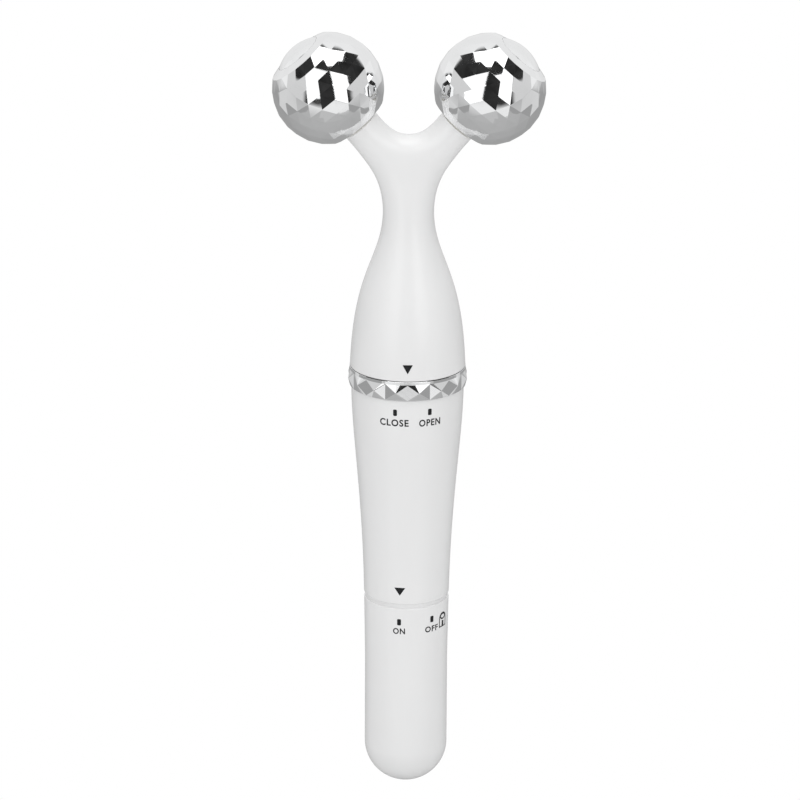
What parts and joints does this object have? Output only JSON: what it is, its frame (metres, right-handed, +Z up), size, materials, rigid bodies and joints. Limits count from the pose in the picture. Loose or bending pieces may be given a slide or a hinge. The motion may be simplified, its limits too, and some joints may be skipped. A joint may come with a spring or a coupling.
{
  "type": "facial roller",
  "caption": "Hand-held facial roller: faceted chrome balls on a Y head, above a tapered battery handle with a studded trim ring and a round twist-switch end cap.",
  "frame": {"origin": "centre of the round handle end, at the lower end of the cap's straight cylinder", "axes": "+Z up the handle to the head, -Y the front with the printed marks, +X to the right ball"},
  "size_m": [0.064, 0.028, 0.1866],
  "materials": {
    "white_abs": "white moulded plastic, satin gloss",
    "chrome_trim": "bright plated plastic",
    "chrome_ball": "bright plated facets",
    "pale_collar": "pale grey moulded plastic",
    "inner_abs": "plain moulded plastic",
    "nylon": "natural nylon",
    "steel": "plated steel",
    "brass_weight": "turned brass",
    "contact_brass": "plated contact strip",
    "armature_iron": "laminated iron and ferrite",
    "motor_plastic": "black moulded plastic",
    "seal_rubber": "soft rubber",
    "cell_steel": "plain wrapped steel cell",
    "lead_red": "red insulated wire",
    "lead_black": "black insulated wire"
  },
  "bodies": {
    "handle": {"handle_sleeve": "white_abs", "trim_ring": "chrome_trim", "bayonet_socket": "inner_abs", "battery_tube": "inner_abs", "cap_seal_ring": "seal_rubber", "battery": "cell_steel", "positive_contact": "contact_brass", "negative_strip": "contact_brass", "motor_cradle": "inner_abs", "motor_screws": "steel", "motor_can": "steel", "motor_end_bell": "motor_plastic", "motor_terminals": "contact_brass", "motor_magnets": "armature_iron", "lead_red": "lead_red", "lead_black": "lead_black"},
    "head": {"head_front_shell": "white_abs", "head_rear_shell": "white_abs", "bayonet_plug": "inner_abs", "head_o_ring": "seal_rubber", "plug_screws": "steel", "axle_left": "steel", "axle_right": "steel", "thrust_washer_left": "nylon", "thrust_washer_right": "nylon", "axle_washer_left": "steel", "axle_washer_right": "steel", "axle_screw_left": "steel", "axle_screw_right": "steel"},
    "left_roller": {"roller_shell_left": "chrome_ball", "end_dome_left": "chrome_trim", "inner_collar_left": "pale_collar", "roller_core_left": "nylon", "bush_inner_left": "nylon", "bush_outer_left": "nylon"},
    "right_roller": {"roller_shell_right": "chrome_ball", "end_dome_right": "chrome_trim", "inner_collar_right": "pale_collar", "roller_core_right": "nylon", "bush_inner_right": "nylon", "bush_outer_right": "nylon"},
    "motor_rotor": {"motor_shaft": "steel", "motor_armature": "armature_iron", "eccentric_weight": "brass_weight"},
    "end_cap": {"end_cap": "white_abs", "spring_plate": "contact_brass", "battery_spring": "steel", "switch_finger": "contact_brass"}
  },
  "joints": [
    {"name": "head_twist", "type": "hinge", "parent": "handle", "child": "head", "pos_m": [0, 0, 0.0955], "axis": [0, 0, 1], "range_deg": [-12.7, 23.2]},
    {"name": "left_roller_spin", "type": "hinge", "parent": "head", "child": "left_roller", "pos_m": [-0.0189, 0, 0.16353], "axis": [-0.6494, 0, 0.7604], "continuous": true},
    {"name": "right_roller_spin", "type": "hinge", "parent": "head", "child": "right_roller", "pos_m": [0.0189, 0, 0.16353], "axis": [0.6494, 0, 0.7604], "continuous": true},
    {"name": "end_cap_twist", "type": "hinge", "parent": "handle", "child": "end_cap", "pos_m": [0, 0, 0.0372], "axis": [0, 0, 1], "range_deg": [-70.3, 0]},
    {"name": "motor_spin", "type": "hinge", "parent": "handle", "child": "motor_rotor", "pos_m": [0, 0, 0.072], "axis": [0, 0, 1], "continuous": true}
  ]
}
